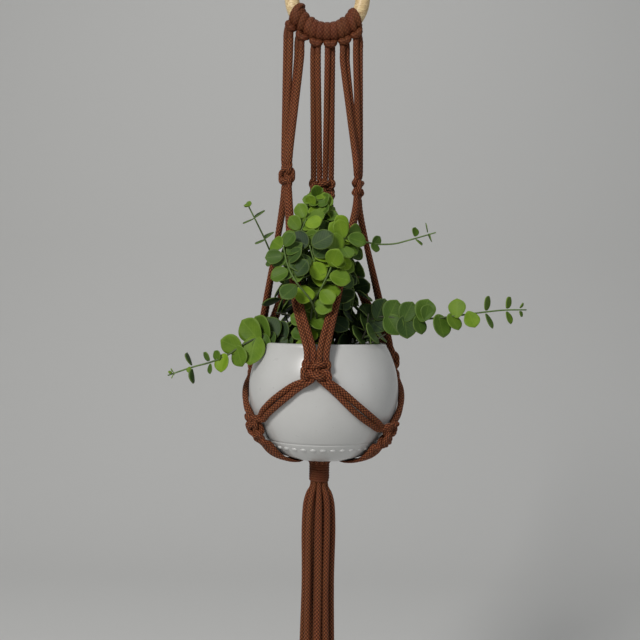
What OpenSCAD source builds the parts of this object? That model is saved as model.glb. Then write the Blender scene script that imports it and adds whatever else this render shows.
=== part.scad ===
// Hanging macrame planter: a bowl pot held in a net of twelve knotted strands under a wooden ring.
// Millimetres, +Z up, front towards -Y. The origin is the hang point, at the top of the ring's hole.

/* [Ring] */
// Outer diameter of the wooden ring
ring_od = 70; // [68:1:72]
// Thickness of the ring's round bar
ring_t = 12; // [11.5:0.5:12.5]

/* [Cord] */
// Diameter of a taut strand
cord_d = 4.8; // [4.4:0.1:4.8]
// Diameter of a free tassel strand
tassel_d = 5; // [4.6:0.1:5]
// Length of the tassel below the gathering wrap
tassel_l = 218; // [180:1:240]

/* [Pot] */
// Widest diameter of the pot
pot_d = 122; // [120:1:122]
// Height of the pot from its base to its rim
pot_h = 92; // [91:1:93]
// Thickness of the pot's wall
wall_t = 4; // [3:0.5:5]
// Number of raised beads near the base
bead_count = 36; // [20:1:38]

/* [Gathering wrap] */
// Number of turns
wrap_turns = 6; // [4:1:8]
// Outer diameter
wrap_d = 16.4; // [16:0.1:17]

/* [Hidden] */
$fn = 48;

// Colours
cord_colour = [0.45, 0.24, 0.15];
wood_colour = [0.90, 0.80, 0.60];
glaze_colour = [0.93, 0.93, 0.91];
foam_colour = [0.14, 0.11, 0.08];
leaf_colour = [0.36, 0.55, 0.20];

// Ring and heads. Angles on the ring start at +X and run towards +Z.
ring_r = (ring_od - ring_t) / 2;
ring_z = -(ring_od / 2 - ring_t);
cord_r = cord_d / 2;
head_wraps = [210, 232, 254, 276, 298, 320];
head_bars = [218, 236, 257, 274, 292, 310];
wrap_half_angle = 5.3;
wrap_cord_r = 1.85;
wrap_gap = 0.15;
bar_out = 11;
bar_front = 3.5;
bar_half = 3.2;
bar_r = 2;
bar_drop = 1.2;
// Turn of the two legs below each head, seen from above
leg_turns = [-42, -42, -35, 35, 42, 42];
wrap_out = 6.2;
wrap_front = 5.2;

// Strand q, from 0 to 3, lies this far from a knot's middle, across the knot
strand_pitch = cord_d + 0.1;
// Length of the straight lead into and out of a knot or a head
lead = 9;
function across(q) = (q - 1.5) * strand_pitch;

// Pot profile: two ellipse arcs that meet at the widest line, then a cone to the flat base
pot_x = 1.5;
pot_top = -307;
pot_base = pot_top - pot_h;
pot_mid = pot_top - 38;
upper_rise = 67;
lower_drop = 62.5;
base_r = 28;
cone_top_angle = 56;
rim_r = 1.4;
clearance = 0.6;

function arc_rise(z) = z > pot_mid ? upper_rise : lower_drop;
function pot_r(z) = pot_d / 2 * sqrt(max(0, 1 - pow((z - pot_mid) / arc_rise(z), 2)));
// How far the wall faces below the horizontal, in degrees
function pot_tilt(z) = atan(((pot_mid - z) / pow(arc_rise(z), 2)) / (pot_r(z) / pow(pot_d / 2, 2)));
function polar(r, az, z) = [r * cos(az), r * sin(az), z];
// A point that stands off the pot's wall
function off_pot(az, z, off) =
    [pot_x, 0, 0] + polar(pot_r(z) + off * cos(pot_tilt(z)), az, z - off * sin(pot_tilt(z)));

// Knots: middle, facing azimuth, tilt below the horizontal, half height
KNOT_LEFT = 0;
KNOT_RIGHT = 1;
KNOT_BACK = 2;
KNOT_FRONT = 3;
KNOT_REAR_LEFT = 4;
KNOT_REAR_RIGHT = 5;
KNOT_LOW_LEFT = 6;
KNOT_LOW_RIGHT = 7;
KNOT_LOW_BACK = 8;
shoulder_r = 63.6;
shoulder_tilt = -12;
low_off = 5.8;
knots = [
    [[-31, -7, -171], 201, 0, 7.5],
    [[27, -7, -180], 345, 0, 7.5],
    [[-2, 14, -178], 90, 0, 7],
    [polar(shoulder_r, 266, -321), 266, shoulder_tilt, 11],
    [[pot_x, 0, 0] + polar(shoulder_r, 150, -322), 150, shoulder_tilt, 10],
    [[pot_x, 0, 0] + polar(shoulder_r, 30, -322), 30, shoulder_tilt, 10],
    [off_pot(208, -371, low_off), 208, pot_tilt(-371), 8],
    [off_pot(330, -375, low_off), 330, pot_tilt(-375), 8],
    [off_pot(90, -373, low_off), 90, pot_tilt(-373), 8]
];
band_r = 1.9;
band_out = 3.4;
band_half = 7;
winding_turns = 2;
winding_steps = 20;
core_r = 2.3;
filler_x = 2.4;

// Directions of a knot: across it, up along it and out of it
function knot_u(k) = [-sin(knots[k][1]), cos(knots[k][1]), 0];
function knot_w(k) = polar(cos(knots[k][2]), knots[k][1], -sin(knots[k][2]));
function knot_v(k) = cross(knot_w(k), knot_u(k));
// Where strand q enters (end = 1) or leaves (end = -1) knot k
function knot_port(k, q, end) =
    knots[k][0] + knot_u(k) * across(q) + knot_v(k) * end * (knots[k][3] - 1.5);

// Gathering wrap and tassel
foot_x = -1;
wrap_top = -404;
wrap_h = 17.6;
wrap_bottom = wrap_top - wrap_h;
turn_r = wrap_h / wrap_turns / 2;
squeezed_r = 1.75;
second_r = 2.1;

// Height, and distance from the axis of the outer and of the inner strands.
// The last height is measured back from each strand's tip.
fall = [[-424.2, 6, 2.1], [-429, 8.4, 2.8], [-437, 10.4, 3.8], [-455, 11.5, 4.7], [-500, 11, 4.4],
        [-560, 12, 5]];
tip_outer_r = 12.4;
tip_inner_r = 5;
// Azimuth, drift round the axis and change of length of each strand; the first nine are outer ones
strands = [
    [270, 4, 0], [310, -5, -5], [350, 3, 2], [30, 6, -8], [70, -4, 0], [110, 5, -4], [150, -4, 3],
    [190, 5, -6], [230, -5, 1], [250, 8, -3], [10, -8, 4], [130, 6, -7]
];
outer_strands = 9;
tip_z = wrap_bottom - tassel_l;
// Share of the drift reached at each height of the fall, and at the tip
drift = [0, 0, 0.2, 0.5, 1, 0.6, 1.3];

function strand_r(i, s) =
    s < len(fall) ? fall[s][i < outer_strands ? 1 : 2] : (i < outer_strands ? tip_outer_r : tip_inner_r);
function strand_z(i, s) = s < len(fall) ? fall[s][0] : tip_z + strands[i][2];
function strand_route(i) = [
    for (s = [0 : len(fall)])
        [foot_x, 0, 0] + polar(strand_r(i, s), strands[i][0] + strands[i][1] * drift[s], strand_z(i, s))
];

// Sprigs: stem points from the foam outwards, then leaf pairs as [place along the stem, leaf
// diameter, turn about the stem]. Place 1.5 is halfway between points 1 and 2.
stem_r = 0.9;
leaf_t = 1;
leaf_rise = 35;
sprig_up = [0.02, 0.3, 1];
foam_top = -321;
upper_left = [
    [[-6, -6, -325], [-12, -14, -290], [-21, -19, -262], [-31, -21, -245], [-40, -27, -237.5],
     [-47, -32, -223.5], [-52, -35, -213.5], [-60, -39, -198]],
    [[2.3, 13, 40], [3.4, 13, 100], [4.4, 13, 20], [5.1, 13, 95], [6.9, 6, 30]]
];
upper_right = [
    [[6, -4, -325], [12, -8, -280], [20, -10, -240], [29, -11, -225], [44, -13, -226], [57, -15, -225.5],
     [67, -17, -223], [89, -20, -216.6]],
    [[2.4, 9, 80], [3.6, 11, 0], [5.1, 12, 80], [6.2, 11, 10], [6.9, 7, 80]]
];
lower_left = [
    [[-10, -6, -325], [-24, -12, -304], [-42, -18, -300], [-61, -20, -307], [-77, -22, -317.5],
     [-89, -22, -322.5], [-103, -22, -326.5], [-123, -18, -333.6]],
    [[1.5, 14, 75], [2.4, 16, 90], [3.2, 16, 75], [3.8, 15, 95], [4.4, 12, 10], [5.2, 9, 80], [6.1, 7, 20]]
];
lower_right = [
    [[10, -2, -325], [22, -6, -300], [43, -11, -286], [68, -15, -288], [94, -17, -287.5], [121, -16, -282],
     [146, -14, -277.5], [164, -12, -277]],
    [[1.9, 18, 80], [2.3, 20, 10], [2.8, 20, 90], [3.4, 19, 0], [4, 16, 90], [4.5, 14, 10], [5.2, 10, 80],
     [5.9, 9, 10], [6.6, 7, 70]]
];
centre = [
    [[0, 0, -325], [2, -8, -290], [3, -14, -255], [0, -16, -225], [-4, -14, -200], [-6, -12, -186]],
    [[1.4, 13, 0], [2, 13, 80], [2.5, 14, 10], [3, 16, 95], [3.5, 15, 20], [4.0, 13, 100], [4.5, 10, 10]]
];
front = [
    [[0, -8, -325], [-2, -19, -300], [-3, -29, -280], [-4, -32, -262], [-4, -32, -246]],
    [[0.9, 14, 10], [1.6, 12, 90], [2.3, 10, 0], [3, 12, 90], [3.7, 10, 10]]
];
left_bush = [
    [[-4, 2, -325], [-14, 2, -296], [-22, 1, -268], [-24, -2, -242], [-22, -6, -222]],
    [[0.9, 18, 90], [1.6, 18, 10], [2.3, 18, 80], [3, 17, 0], [3.7, 14, 80]]
];
right_bush = [
    [[4, 4, -325], [14, 7, -296], [22, 9, -270], [23, 8, -248], [20, 5, -228]],
    [[0.9, 16, 90], [1.6, 16, 10], [2.3, 13, 80], [3, 11, 0], [3.7, 10, 80]]
];

function unit(v) = v / norm(v);

// Directions of a path's rings: each is the last one, turned as little as the path allows
function tangent(path, i) =
    unit(path[min(i + 1, len(path) - 1)] - path[max(i - 1, 0)]);
function square_to(v, t) = unit(v - t * (v * t));
function ring_sides(path, first) = [
    for (i = 0, u = square_to(first, tangent(path, 0));
         i < len(path);
         i = i + 1, u = i < len(path) ? square_to(u, tangent(path, i)) : u)
        u
];

// A closed round tube along a path, with a radius for each point
module tube(path, radii, sides = 8, first = [1, 0, 0.13]) {
    n = len(path);
    us = ring_sides(path, first);
    points = [
        for (i = [0 : n - 1])
            let (v = cross(tangent(path, i), us[i]))
                for (s = [0 : sides - 1])
                    path[i] + radii[i] * (us[i] * cos(360 * s / sides) + v * sin(360 * s / sides))
    ];
    walls = [
        for (i = [0 : n - 2], s = [0 : sides - 1])
            let (t = (s + 1) % sides)
                each [[i * sides + s, (i + 1) * sides + s, i * sides + t],
                      [i * sides + t, (i + 1) * sides + s, (i + 1) * sides + t]]
    ];
    start = [for (s = [0 : sides - 1]) s];
    finish = [for (s = [sides - 1 : -1 : 0]) (n - 1) * sides + s];
    polyhedron(points, concat(walls, [start], [finish]), convexity = 4);
}

module strand(path, r = cord_r, first = [1, 0, 0.13]) {
    tube(path, [for (p = path) r], first = first);
}

// Puts its children on the ring: X points out from the ring's centre, Y along the ring, Z to the front
module on_ring(angle) {
    translate([0, 0, ring_z])
        rotate([90, 0, 0])
            rotate([0, 0, angle])
                translate([ring_r, 0, 0])
                    children();
}

// A point by its angle on the ring, then outwards, along and to the front of the ring's bar
function ring_point(angle, out, along, to_front) = [
    (ring_r + out) * cos(angle) - along * sin(angle), -to_front,
    ring_z + (ring_r + out) * sin(angle) + along * cos(angle)
];

module wooden_ring() {
    color(wood_colour)
        translate([0, 0, ring_z])
            rotate([90, 0, 0])
                rotate_extrude()
                    translate([ring_r, 0]) circle(ring_t / 2);
}

module larks_head(i) {
    color(cord_colour) {
        for (side = [-1, 1])
            on_ring(head_wraps[i] + side * wrap_half_angle)
                rotate([90, 0, 0])
                    rotate_extrude()
                        translate([ring_t / 2 + wrap_gap + wrap_cord_r, 0]) circle(wrap_cord_r);
        tube([
            ring_point(head_wraps[i] - wrap_half_angle, wrap_out, 0, wrap_front),
            ring_point(head_bars[i], bar_out, -bar_half, bar_front),
            ring_point(head_bars[i], bar_out, bar_half, bar_front),
            ring_point(head_wraps[i] + wrap_half_angle, wrap_out, 0, wrap_front)
        ], [bar_r, cord_r, cord_r, bar_r], first = [0, 1, 0.1]);
    }
}

function bar_point(i) = [
    (ring_r + bar_out) * cos(head_bars[i]), 0,
    ring_z + (ring_r + bar_out) * sin(head_bars[i]) - cord_r - bar_drop - bar_half * abs(cos(head_bars[i]))
];

// The two strands below head i, to strands first and first + step of knot k
module head_pair(i, k, first, step) {
    color(cord_colour)
        for (leg = [0, 1]) {
            top = bar_point(i) + polar((leg - 0.5) * strand_pitch, leg_turns[i], 0);
            port = knot_port(k, first + leg * step, 1);
            strand([top, top - [0, 0, lead], port + [0, 0, lead], port]);
        }
}

// A square knot: two straight cores, with the working cord wound round them
module square_knot(k) {
    half = knots[k][3];
    u = knot_u(k);
    v = knot_v(k);
    w = knot_w(k);
    color(cord_colour) {
        for (side = [-1, 1]) {
            foot = knots[k][0] + u * side * filler_x - v * half;
            strand([foot, foot + v * half, foot + v * 2 * half], core_r, u);
        }
        tube([
            for (i = [0 : winding_steps])
                let (turn = 360 * winding_turns * i / winding_steps)
                    knots[k][0] + u * band_half * cos(turn) + w * band_out * sin(turn)
                        + v * (half - band_r) * (1 - 2 * i / winding_steps)
        ], [for (i = [0 : winding_steps]) band_r], first = v);
    }
}

// Two strands in the open, from side a of knot k to side b of knot m, pushed out by a bow
bow_share = 0.7;
left_front_bow = [-4.5, 0, 0];
module arm_pair(k, a, m, b, bow = [0, 0, 0]) {
    color(cord_colour)
        for (i = [0, 1]) {
            top = knot_port(k, a + i, -1);
            end = knot_port(m, b + i, 1);
            start = top - [0, 0, lead];
            finish = end + knot_v(m) * lead;
            strand([top, start, start + (finish - start) * bow_share + bow, finish, end]);
        }
}

// Two strands on the pot's side, from side a of knot k to side b of knot m, with a narrow gap between
net_off = cord_r + clearance;
net_spread = 2;
net_steps = [0.16, 0.36, 0.55, 0.74, 0.9];
function turned(a, b) = b - a > 180 ? b - 360 : (a - b > 180 ? b + 360 : b);
function azimuth(p) = (atan2(p[1], p[0] - pot_x) + 360) % 360;
function net_point(from, to, t, rise) = let (
    a = azimuth(from),
    b = turned(a, azimuth(to)),
    z = from[2] + (to[2] - from[2]) * t + rise * sin(180 * t)
) off_pot(a + (b - a) * t, z, net_off);
module net_pair(k, a, m, b) {
    color(cord_colour)
        for (i = [0, 1]) {
            from = knot_port(k, a + i, -1);
            to = knot_port(m, b + i, 1);
            rise = ((a == 0) == (i == 0) ? 1 : -1) * net_spread;
            route = concat([from], [for (t = net_steps) net_point(from, to, t, rise)], [to]);
            strand(route, first = [0, 0, 1]);
        }
}

// Under the pot: [distance from the axis, height] of the middle of each strand
under = [[51.4, -386], [46, -392.2], [41, -396.2], [36, -398.9], [29.4, -400.9], [20, -400.9],
         [12.5, -401.2], [9.4, -402.4], [7.4, -405]];
// Half the thickness there: the strands are pressed flat under the base, and squeezed at the wrap
under_radii = [cord_r, cord_r, cord_r, 2.2, 1.6, 1.6, 1.7, squeezed_r, squeezed_r];
// Close to the axis the strands fan out and shift sideways to the gathering wrap's axis
fan_limit = 30;
shift_r = 7;
shift_width = 25;
function fan(r) = min(fan_limit, strand_pitch / r * 180 / PI);
function towards_foot(r) = foot_x + (pot_x - foot_x) * min(1, (r - shift_r) / shift_width);
module base_strands(k) {
    az = knots[k][1];
    color(cord_colour)
        for (q = [0 : 3]) {
            route = concat(
                [knot_port(k, q, -1)],
                [for (p = under) [towards_foot(p[0]), 0, 0] + polar(p[0], az + (q - 1.5) * fan(p[0]), p[1])]
            );
            tube(route, concat([cord_r], under_radii), first = polar(1, az + 90, 0));
        }
}

module gathering_wrap() {
    color(cord_colour)
        translate([foot_x, 0, 0]) {
            translate([0, 0, wrap_bottom]) cylinder(r = wrap_d / 2 - turn_r, h = wrap_h);
            for (i = [0 : wrap_turns - 1])
                translate([0, 0, wrap_bottom + (2 * i + 1) * turn_r])
                    rotate_extrude() translate([wrap_d / 2 - turn_r, 0]) circle(turn_r);
        }
}

module tassel_strand(i) {
    route = strand_route(i);
    color(cord_colour)
        tube(route, [for (s = [0 : len(fall)]) s == 0 ? squeezed_r : (s == 1 ? second_r : tassel_d / 2)]);
}

// The wall's outline, pushed in by a distance
profile_steps = 10;
function arc_point(angle, rise, inset) =
    [(pot_d / 2 - inset) * cos(angle), pot_mid + (rise - inset) * sin(angle)];
function top_angle(rise, inset) = asin((pot_top - rim_r - pot_mid) / (rise - inset));
module pot() {
    outer = concat(
        [[0, pot_base], [base_r, pot_base]],
        [for (i = [0 : profile_steps]) arc_point(-cone_top_angle * (1 - i / profile_steps), lower_drop, 0)],
        [for (i = [1 : profile_steps]) arc_point(top_angle(upper_rise, 0) * i / profile_steps, upper_rise, 0)]
    );
    inner = concat(
        [for (i = [profile_steps : -1 : 1])
            arc_point(top_angle(upper_rise, wall_t) * i / profile_steps, upper_rise, wall_t)],
        [for (i = [profile_steps : -1 : 0])
            arc_point(-cone_top_angle * (1 - i / profile_steps), lower_drop, wall_t)],
        [[base_r - wall_t, pot_base + wall_t], [0, pot_base + wall_t]]
    );
    rim_middle = (outer[len(outer) - 1] + inner[0]) / 2;
    color(glaze_colour)
        translate([pot_x, 0, 0]) {
            rotate_extrude($fn = 96) {
                polygon(concat(outer, inner));
                translate(rim_middle) circle(wall_t / 2);
            }
            bead_ring();
        }
}

// Raised beads above the base
bead_r = 1.6;
bead_sunk = 0.9;
bead_angle = 42.4;
module bead_ring() {
    p = arc_point(-bead_angle, lower_drop, bead_sunk);
    for (i = [0 : bead_count - 1])
        translate(polar(p[0], 360 * i / bead_count, p[1])) sphere(bead_r, $fn = 24);
}

module foam_plug() {
    inset = wall_t + 0.05;
    rows = [-340, -333, -327, foam_top];
    color(foam_colour)
        translate([pot_x, 0, 0])
            rotate_extrude($fn = 96)
                polygon(concat([[0, rows[0]]], [for (z = rows) [pot_r(z) - inset, z]], [[0, foam_top]]));
}

// A point and a direction at a place along a stem
function stem_point(stem, at) = let (i = min(floor(at), len(stem) - 2))
    stem[i] + (stem[i + 1] - stem[i]) * (at - i);
function stem_dir(stem, at) = let (i = min(floor(at), len(stem) - 2)) unit(stem[i + 1] - stem[i]);

module sprig(data) {
    stem = data[0];
    color(leaf_colour) {
        tube(stem, [for (p = stem) stem_r], sides = 6, first = [0.3, 1, 0.1]);
        for (pair = data[1]) {
            at = stem_point(stem, pair[0]);
            along = stem_dir(stem, pair[0]);
            side = square_to(sprig_up, along);
            for (turn = [pair[2], pair[2] + 180]) {
                out = side * cos(turn) + cross(along, side) * sin(turn);
                axis = out * cos(leaf_rise) + along * sin(leaf_rise);
                facing = cross(axis, cross(along, out));
                translate(at + axis * (pair[1] / 2 + stem_r / 2))
                    rotate([0, acos(facing[2]), atan2(facing[1], facing[0])])
                        cylinder(d = pair[1], h = leaf_t, center = true, $fn = 24);
            }
        }
    }
}

wooden_ring();
larks_head(0);  // larks_head_1
larks_head(1);  // larks_head_2
larks_head(2);  // larks_head_3
larks_head(3);  // larks_head_4
larks_head(4);  // larks_head_5
larks_head(5);  // larks_head_6
head_pair(0, KNOT_LEFT, 0, 1);  // head_pair_1
head_pair(1, KNOT_LEFT, 2, 1);  // head_pair_2
head_pair(2, KNOT_BACK, 3, -1);  // head_pair_3
head_pair(3, KNOT_BACK, 1, -1);  // head_pair_4
head_pair(4, KNOT_RIGHT, 0, 1);  // head_pair_5
head_pair(5, KNOT_RIGHT, 2, 1);  // head_pair_6
square_knot(KNOT_LEFT);  // knot_left
square_knot(KNOT_RIGHT);  // knot_right
square_knot(KNOT_BACK);  // knot_back
arm_pair(KNOT_LEFT, 2, KNOT_FRONT, 0, left_front_bow);  // arm_left_front
arm_pair(KNOT_LEFT, 0, KNOT_REAR_LEFT, 2);  // arm_left_rear
arm_pair(KNOT_RIGHT, 0, KNOT_FRONT, 2);  // arm_right_front
arm_pair(KNOT_RIGHT, 2, KNOT_REAR_RIGHT, 0);  // arm_right_rear
arm_pair(KNOT_BACK, 0, KNOT_REAR_RIGHT, 2);  // arm_back_right
arm_pair(KNOT_BACK, 2, KNOT_REAR_LEFT, 0);  // arm_back_left
square_knot(KNOT_FRONT);  // knot_front
square_knot(KNOT_REAR_LEFT);  // knot_rear_left
square_knot(KNOT_REAR_RIGHT);  // knot_rear_right
net_pair(KNOT_FRONT, 0, KNOT_LOW_LEFT, 2);  // net_left_front
net_pair(KNOT_FRONT, 2, KNOT_LOW_RIGHT, 0);  // net_right_front
net_pair(KNOT_REAR_LEFT, 2, KNOT_LOW_LEFT, 0);  // net_left_rear
net_pair(KNOT_REAR_RIGHT, 0, KNOT_LOW_RIGHT, 2);  // net_right_rear
net_pair(KNOT_REAR_RIGHT, 2, KNOT_LOW_BACK, 0);  // net_back_right
net_pair(KNOT_REAR_LEFT, 0, KNOT_LOW_BACK, 2);  // net_back_left
square_knot(KNOT_LOW_LEFT);  // knot_low_left
square_knot(KNOT_LOW_RIGHT);  // knot_low_right
square_knot(KNOT_LOW_BACK);  // knot_low_back
base_strands(KNOT_LOW_LEFT);  // base_left
base_strands(KNOT_LOW_RIGHT);  // base_right
base_strands(KNOT_LOW_BACK);  // base_back
gathering_wrap();
tassel_strand(0);  // tassel_strand_01
tassel_strand(1);  // tassel_strand_02
tassel_strand(2);  // tassel_strand_03
tassel_strand(3);  // tassel_strand_04
tassel_strand(4);  // tassel_strand_05
tassel_strand(5);  // tassel_strand_06
tassel_strand(6);  // tassel_strand_07
tassel_strand(7);  // tassel_strand_08
tassel_strand(8);  // tassel_strand_09
tassel_strand(9);  // tassel_strand_10
tassel_strand(10);  // tassel_strand_11
tassel_strand(11);  // tassel_strand_12
pot();
foam_plug();
sprig(upper_left);  // sprig_upper_left
sprig(upper_right);  // sprig_upper_right
sprig(lower_left);  // sprig_lower_left
sprig(lower_right);  // sprig_lower_right
sprig(centre);  // sprig_centre
sprig(front);  // sprig_front
sprig(left_bush);  // sprig_left
sprig(right_bush);  // sprig_right
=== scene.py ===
import math
import random

import bpy
import numpy as np
from mathutils import Matrix, Vector


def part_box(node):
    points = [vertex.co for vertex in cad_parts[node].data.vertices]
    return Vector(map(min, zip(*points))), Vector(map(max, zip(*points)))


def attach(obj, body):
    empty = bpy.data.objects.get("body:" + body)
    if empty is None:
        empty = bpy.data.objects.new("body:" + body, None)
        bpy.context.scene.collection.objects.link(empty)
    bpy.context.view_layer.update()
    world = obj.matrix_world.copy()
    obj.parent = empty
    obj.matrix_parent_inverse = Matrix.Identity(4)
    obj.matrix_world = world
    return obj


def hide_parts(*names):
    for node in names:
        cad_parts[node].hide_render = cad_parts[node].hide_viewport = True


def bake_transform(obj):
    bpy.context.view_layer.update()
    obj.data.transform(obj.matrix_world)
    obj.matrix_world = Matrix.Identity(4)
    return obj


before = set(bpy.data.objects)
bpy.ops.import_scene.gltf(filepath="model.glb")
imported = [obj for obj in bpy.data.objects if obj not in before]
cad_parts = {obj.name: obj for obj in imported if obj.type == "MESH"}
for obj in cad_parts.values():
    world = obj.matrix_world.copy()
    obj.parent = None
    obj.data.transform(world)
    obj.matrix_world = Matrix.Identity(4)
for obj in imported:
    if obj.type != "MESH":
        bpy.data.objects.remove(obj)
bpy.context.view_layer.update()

# The looks of a hanging macrame planter. Metres, +Z up, front towards -Y.
# The origin is the hang point, at the top of the wooden ring's hole.
rng = random.Random(7)

# ---------------------------------------------------------------- camera
CAMERA_PLACE = (-0.0022, -0.684, -0.2876)
CAMERA_ROLL = math.radians(0.84)
CAMERA_LENS = 46.9

camera = bpy.data.objects.new("camera", bpy.data.cameras.new("camera"))
bpy.context.scene.collection.objects.link(camera)
camera.data.lens = CAMERA_LENS
camera.data.sensor_width = 36
camera.data.clip_start = 0.01
camera.location = CAMERA_PLACE
camera.rotation_euler = (
    Matrix.Rotation(math.pi / 2, 3, "X") @ Matrix.Rotation(CAMERA_ROLL, 3, "Z")
).to_euler()
bpy.context.scene.camera = camera
bpy.context.scene.view_settings.view_transform = "Standard"


# ---------------------------------------------------------------- small tools
def unit(v):
    return v / np.linalg.norm(v)


def polar(r, degrees, z):
    a = math.radians(degrees)
    return np.array([r * math.cos(a), r * math.sin(a), z])


def mesh_object(name, verts, faces, material, uvs=None, tones=None):
    """A new mesh object. uvs holds one pair per face corner, tones one number per vertex."""
    mesh = bpy.data.meshes.new(name)
    mesh.from_pydata([tuple(v) for v in verts], [], [tuple(int(i) for i in f) for f in faces])
    if uvs is not None:
        layer = mesh.uv_layers.new(name="Lay")
        layer.data.foreach_set("uv", np.asarray(uvs, np.float32).ravel())
    if tones is not None:
        layer = mesh.attributes.new("tone", "FLOAT", "POINT")
        layer.data.foreach_set("value", np.asarray(tones, np.float32))
    mesh.polygons.foreach_set("use_smooth", [True] * len(mesh.polygons))
    mesh.materials.append(material)
    obj = bpy.data.objects.new(name, mesh)
    bpy.context.scene.collection.objects.link(obj)
    return obj


def curve_through(points, samples=16):
    """Dense points of a centripetal Catmull-Rom curve, with `samples` steps between neighbours."""
    p = np.asarray(points, float)
    p = np.vstack([2 * p[0] - p[1], p, 2 * p[-1] - p[-2]])
    out = []
    for i in range(1, len(p) - 2):
        p0, p1, p2, p3 = p[i - 1], p[i], p[i + 1], p[i + 2]
        t1 = np.linalg.norm(p1 - p0) ** 0.5
        t2 = t1 + np.linalg.norm(p2 - p1) ** 0.5
        t3 = t2 + np.linalg.norm(p3 - p2) ** 0.5
        t = np.linspace(t1, t2, samples, endpoint=False)[:, None]
        a1 = (t1 - t) / t1 * p0 + t / t1 * p1
        a2 = (t2 - t) / (t2 - t1) * p1 + (t - t1) / (t2 - t1) * p2
        a3 = (t3 - t) / (t3 - t2) * p2 + (t - t2) / (t3 - t2) * p3
        b1 = (t2 - t) / t2 * a1 + t / t2 * a2
        b2 = (t3 - t) / (t3 - t1) * a2 + (t - t1) / (t3 - t1) * a3
        out.append((t2 - t) / (t2 - t1) * b1 + (t - t1) / (t2 - t1) * b2)
    out.append(p[-2][None])
    return np.vstack(out)


def lengths_along(p):
    return np.concatenate([[0], np.cumsum(np.linalg.norm(np.diff(p, axis=0), axis=1))])


def at_lengths(p, s, wanted):
    return np.stack([np.interp(wanted, s, p[:, k]) for k in range(3)], axis=1)


def ring_frames(p, first=(0.31, 0.9, 0.2), start=0):
    """Two unit sides of a path, that turn as little as it allows, away from the ring at start."""
    t = np.gradient(p, axis=0)
    t /= np.linalg.norm(t, axis=1)[:, None]
    side = np.empty_like(p)
    for rows in (range(start, len(p)), range(start, -1, -1)):
        s = np.array(first, float)
        for i in rows:
            s = s - t[i] * (s @ t[i])
            s /= np.linalg.norm(s)
            side[i] = s
    return side, np.cross(t, side)


# ---------------------------------------------------------------- materials
class Paint:
    """A Principled material. Sockets that are the same all over are set on the shader itself."""

    def __init__(self, name, **sockets):
        self.material = bpy.data.materials.new(name)
        self.material.use_nodes = True
        self.tree = self.material.node_tree
        self.shader = self.tree.nodes["Principled BSDF"]
        for key, value in sockets.items():
            self.shader.inputs[key.replace("_", " ")].default_value = value

    def node(self, kind, inputs=None, **settings):
        made = self.tree.nodes.new("ShaderNode" + kind)
        for key, value in settings.items():
            setattr(made, key, value)
        for key, value in (inputs or {}).items():
            if isinstance(value, bpy.types.NodeSocket):
                self.tree.links.new(value, made.inputs[key])
            else:
                made.inputs[key].default_value = value
        return made

    def math(self, operation, a, b=0.0):
        return self.node("Math", {0: a, 1: b}, operation=operation).outputs[0]

    def times(self, a, b):
        return self.math("MULTIPLY", a, b)

    def plus(self, a, b):
        return self.math("ADD", a, b)

    def noise(self, vector, scale, detail=3.0, rough=0.55, distortion=0.0):
        return self.node(
            "TexNoise",
            {"Vector": vector, "Scale": scale, "Detail": detail, "Roughness": rough,
             "Distortion": distortion},
        ).outputs["Fac"]

    def spread(self, value, low, high, to_low=0.0, to_high=1.0):
        return self.node(
            "MapRange", {0: value, 1: low, 2: high, 3: to_low, 4: to_high}
        ).outputs[0]

    def mix(self, share, a, b):
        made = self.node("Mix", data_type="RGBA")
        for socket, value in ((0, share), (6, a), (7, b)):
            if isinstance(value, bpy.types.NodeSocket):
                self.tree.links.new(value, made.inputs[socket])
            else:
                made.inputs[socket].default_value = (*value, 1) if socket and len(value) == 3 else value
        return made.outputs[2]

    def place(self, which="Object"):
        return self.node("TexCoord").outputs[which]

    def stretched(self, vector, scale):
        return self.node("Mapping", {"Vector": vector, "Scale": scale}).outputs[0]

    def tone(self):
        return self.node("Attribute", attribute_name="tone").outputs["Fac"]

    def bump(self, height, strength, distance):
        made = self.node("Bump", {"Height": height, "Strength": strength, "Distance": distance})
        self.tree.links.new(made.outputs[0], self.shader.inputs["Normal"])

    def wire(self, socket, value):
        self.tree.links.new(value, self.shader.inputs[socket])


# A braid has this many bumps round it, and one row of bumps every half pitch
BRAID_ROUND = 6
BRAID_PITCH = 0.0031


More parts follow.
